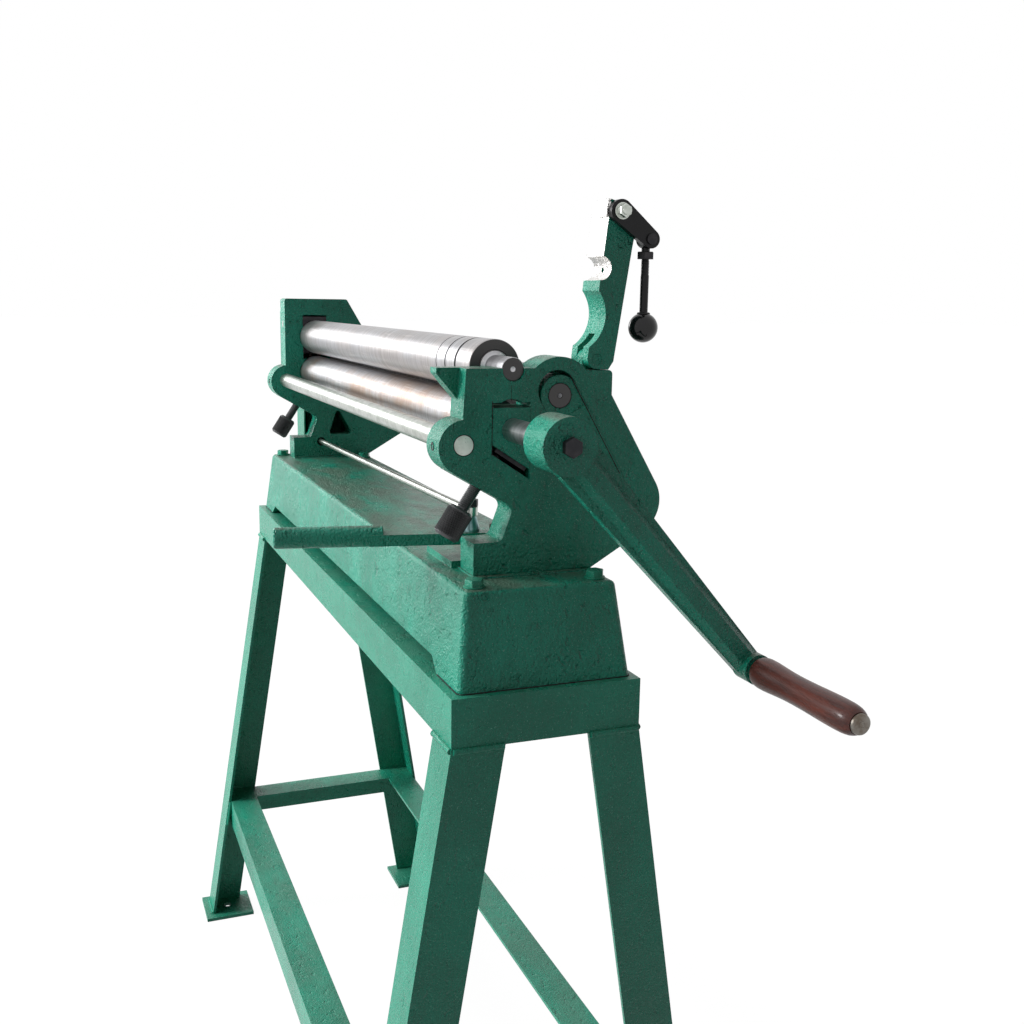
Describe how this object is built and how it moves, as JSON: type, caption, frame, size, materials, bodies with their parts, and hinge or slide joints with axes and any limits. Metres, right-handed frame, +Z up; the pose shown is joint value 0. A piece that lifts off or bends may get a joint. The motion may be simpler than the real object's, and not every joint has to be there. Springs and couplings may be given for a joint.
{
  "type": "slip roll machine",
  "caption": "Hand-cranked slip roll on a welded angle-iron stand: pinch rolls and a forming roll between cast housings, a hinged release arm with clamp, and a lifting lever.",
  "frame": {"origin": "on the floor, in the middle of the four anchor holes", "axes": "+X along the rolls towards the crank, -Y to the operator, +Z up"},
  "size_m": [1.4362, 0.4913, 1.3263],
  "materials": {
    "green_casting": "green hammered enamel",
    "green_iron": "green hammered enamel",
    "ground_steel": "ground",
    "zinc": "zinc plated",
    "black_oxide": "black oxide",
    "black_ball": "glossy",
    "dark_wood": "varnished"
  },
  "bodies": {
    "frame": {"rail_front": "green_iron", "rail_back": "green_iron", "rail_left": "green_iron", "rail_right": "green_iron", "brace_front": "green_iron", "brace_back": "green_iron", "brace_left": "green_iron", "brace_right": "green_iron", "leg_front_left": "green_iron", "leg_back_left": "green_iron", "leg_front_right": "green_iron", "leg_back_right": "green_iron", "foot_pads": "green_iron", "base_casting": "green_casting", "base_bolts": "green_iron", "housing_bolts": "zinc", "right_housing": "green_casting", "left_housing": "green_casting", "tie_bar": "zinc", "swivel_pin": "black_oxide", "arm_pin": "green_iron", "pivot_bolt": "zinc", "gear_cover": "green_iron", "cover_screws": "zinc"},
    "lower_carriage": {"lower_block_right": "green_casting", "lower_block_left": "green_casting"},
    "lower_drive": {"lower_roll": "ground_steel", "lower_gear": "black_oxide", "crank_arm": "green_casting", "crank_bolt": "black_oxide", "grip_spindle": "zinc"},
    "grip": {"wood_grip": "dark_wood"},
    "swivel": {"swivel_block": "black_oxide", "tail_arm": "green_iron"},
    "upper_drive": {"upper_roll": "ground_steel", "upper_gear": "black_oxide"},
    "rod": {"link_rod": "zinc", "rod_nuts": "zinc"},
    "lever": {"hand_lever": "green_iron", "link_stud": "black_oxide", "link_spacer": "zinc"},
    "rear_carriage": {"rear_block_right": "green_casting", "rear_block_left": "green_casting"},
    "rear_drive": {"rear_roll": "ground_steel"},
    "rear_adjuster_right": {"rear_screw_right": "black_oxide"},
    "rear_adjuster_left": {"rear_screw_left": "black_oxide"},
    "shoe_right": {"thrust_shoe_right": "black_oxide"},
    "shoe_left": {"thrust_shoe_left": "black_oxide"},
    "front_adjuster_right": {"front_screw_right": "black_oxide"},
    "front_adjuster_left": {"front_screw_left": "black_oxide"},
    "arm": {"release_arm": "green_casting", "clamp_stud": "zinc", "clamp_nut": "zinc"},
    "link": {"clamp_link": "black_oxide", "clamp_eye_pin": "black_oxide"},
    "clamp_lever": {"clamp_eye": "black_oxide", "clamp_rod": "black_oxide", "clamp_jam_nut": "black_oxide", "ball_knob": "black_ball"}
  },
  "joints": [
    {"name": "lower_carriage_lift", "type": "slide", "parent": "frame", "child": "lower_carriage", "axis": [0, 0, 1], "range_m": [-0.004, 0.0044]},
    {"name": "lower_roll_spin", "type": "hinge", "parent": "lower_carriage", "child": "lower_drive", "pos_m": [0, -0.011, 1.08], "axis": [1, 0, 0], "continuous": true},
    {"name": "grip_spin", "type": "hinge", "parent": "lower_drive", "child": "grip", "pos_m": [0.66, 0.21109, 0.83592], "axis": [1, 0, 0], "continuous": true},
    {"name": "top_roll_lift", "type": "hinge", "parent": "frame", "child": "swivel", "pos_m": [-0.5185, -0.011, 1.168], "axis": [0, 1, 0], "range_deg": [-3, 0]},
    {"name": "upper_roll_spin", "type": "hinge", "parent": "swivel", "child": "upper_drive", "pos_m": [0, -0.011, 1.1449], "axis": [1, 0, 0], "continuous": true},
    {"name": "rod_slide", "type": "slide", "parent": "frame", "child": "rod", "axis": [1, 0, 0], "range_m": [-0.0005, 0.0125]},
    {"name": "hand_lever_swing", "type": "hinge", "parent": "frame", "child": "lever", "pos_m": [0.42978, 0.00047, 0.9555], "axis": [0, 0, 1], "range_deg": [-0.5, 21.5]},
    {"name": "rear_carriage_slide", "type": "slide", "parent": "frame", "child": "rear_carriage", "axis": [0, -0.5075, 0.8616], "range_m": [-0.045, 0.0005]},
    {"name": "rear_roll_spin", "type": "hinge", "parent": "rear_carriage", "child": "rear_drive", "pos_m": [0, 0.043, 1.1163], "axis": [1, 0, 0], "continuous": true},
    {"name": "release_arm_swing", "type": "hinge", "parent": "frame", "child": "arm", "pos_m": [0.4825, 0.0863, 1.1552], "axis": [1, 0, 0], "range_deg": [0, 96.8]},
    {"name": "clamp_link_swing", "type": "hinge", "parent": "arm", "child": "link", "pos_m": [0.504, 0.10704, 1.31306], "axis": [1, 0, 0], "range_deg": [0, 184.5]},
    {"name": "clamp_lever_swing", "type": "hinge", "parent": "link", "child": "clamp_lever", "pos_m": [0.499, 0.14364, 1.28487], "axis": [1, 0, 0], "range_deg": [0, 60]},
    {"name": "rear_screw_right_turn", "type": "hinge", "parent": "rear_carriage", "child": "rear_adjuster_right", "pos_m": [0.4825, 0.043, 1.1163], "axis": [0, -0.5075, 0.8616], "range_deg": [-8110, 95]},
    {"name": "shoe_right_slide", "type": "slide", "parent": "frame", "child": "shoe_right", "axis": [0, 0.5446, 0.8387], "range_m": [-0.0034, 0.00374]},
    {"name": "front_screw_right_turn", "type": "hinge", "parent": "shoe_right", "child": "front_adjuster_right", "pos_m": [0.4825, -0.00639, 1.077], "axis": [0, 0.5446, 0.8387], "range_deg": [-606, 666]},
    {"name": "rear_screw_left_turn", "type": "hinge", "parent": "rear_carriage", "child": "rear_adjuster_left", "pos_m": [-0.5185, 0.043, 1.1163], "axis": [0, -0.5075, 0.8616], "range_deg": [-8110, 95]},
    {"name": "shoe_left_slide", "type": "slide", "parent": "frame", "child": "shoe_left", "axis": [0, 0.5446, 0.8387], "range_m": [-0.0034, 0.00374]},
    {"name": "front_screw_left_turn", "type": "hinge", "parent": "shoe_left", "child": "front_adjuster_left", "pos_m": [-0.5185, -0.00639, 1.077], "axis": [0, 0.5446, 0.8387], "range_deg": [-606, 666]}
  ],
  "couplings": [
    {"joint": "upper_roll_spin", "follows": "lower_roll_spin", "ratio": -1},
    {"joint": "rod_slide", "follows": "top_roll_lift", "m_per_rad": -0.22},
    {"joint": "hand_lever_swing", "follows": "top_roll_lift", "ratio": -6.9},
    {"joint": "rear_screw_right_turn", "follows": "rear_carriage_slide", "rad_per_m": 3141.6},
    {"joint": "shoe_right_slide", "follows": "lower_carriage_lift", "ratio": 0.8387},
    {"joint": "front_screw_right_turn", "follows": "lower_carriage_lift", "rad_per_m": 2634.8},
    {"joint": "rear_screw_left_turn", "follows": "rear_carriage_slide", "rad_per_m": 3141.6},
    {"joint": "shoe_left_slide", "follows": "lower_carriage_lift", "ratio": 0.8387},
    {"joint": "front_screw_left_turn", "follows": "lower_carriage_lift", "rad_per_m": 2634.8}
  ]
}
